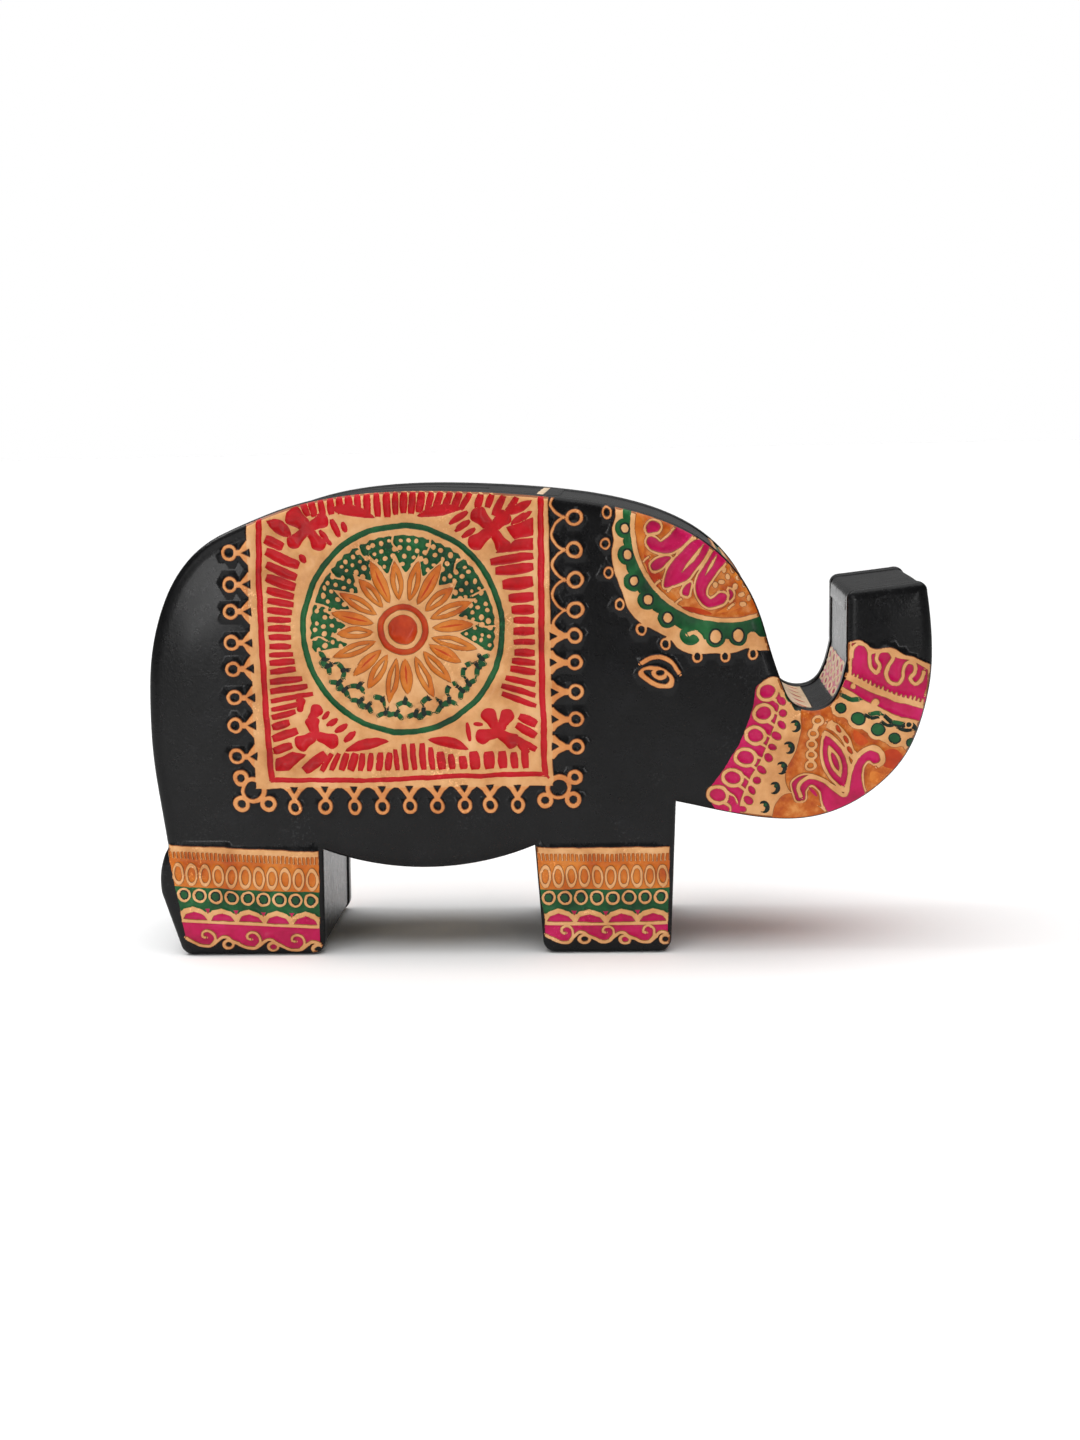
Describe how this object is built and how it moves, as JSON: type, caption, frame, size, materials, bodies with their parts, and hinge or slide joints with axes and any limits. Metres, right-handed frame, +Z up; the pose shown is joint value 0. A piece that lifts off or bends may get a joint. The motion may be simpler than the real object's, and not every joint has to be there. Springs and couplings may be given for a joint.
{
  "type": "elephant-shaped leather money box",
  "caption": "Hollow standing elephant in embossed black leather over card, with a coin slot in the back and a round key lock under the belly.",
  "frame": {"origin": "on the ground, under the middle of the outline", "axes": "+X forward to the trunk, +Y to the elephant's left, +Z up"},
  "size_m": [0.1908, 0.05, 0.1146],
  "materials": {
    "leather": "embossed and lacquered, black with dyed ornament",
    "padding": "thin foam",
    "card": "raw millboard",
    "lock_brass": "pressed, slightly tarnished",
    "lock_steel": "zinc plated",
    "lock_barrel": "turned"
  },
  "bodies": {
    "box": {"back_card": "card", "back_leather": "leather", "belly_card": "card", "belly_leather": "leather", "chest_leather": "leather", "crook_card": "card", "front_foot_card": "card", "front_leg_front_card": "card", "front_leg_rear_card": "card", "front_sole": "leather", "head_leather": "leather", "hind_foot_card": "card", "hind_leg_front_card": "card", "hind_leg_rear_card": "card", "hind_sole": "leather", "left_side_card": "card", "left_side_leather": "leather", "left_side_padding": "padding", "lock_collar": "lock_brass", "lock_retainer": "lock_steel", "right_side_card": "card", "right_side_leather": "leather", "right_side_padding": "padding", "trunk_card": "card", "trunk_tip_card": "card", "trunk_tip_leather": "leather"},
    "plug": {"lock_plug": "lock_brass"},
    "latch": {"lock_barrel": "lock_barrel", "lock_latch": "lock_steel", "lock_nut": "lock_steel"}
  },
  "joints": [
    {"name": "plug_slide", "type": "slide", "parent": "box", "child": "plug", "axis": [0, 0, -1], "range_m": [0, 0.018]},
    {"name": "latch_turn", "type": "hinge", "parent": "plug", "child": "latch", "pos_m": [-0.023, 0, 0.025], "axis": [0, 0, -1], "range_deg": [0, 90]}
  ]
}
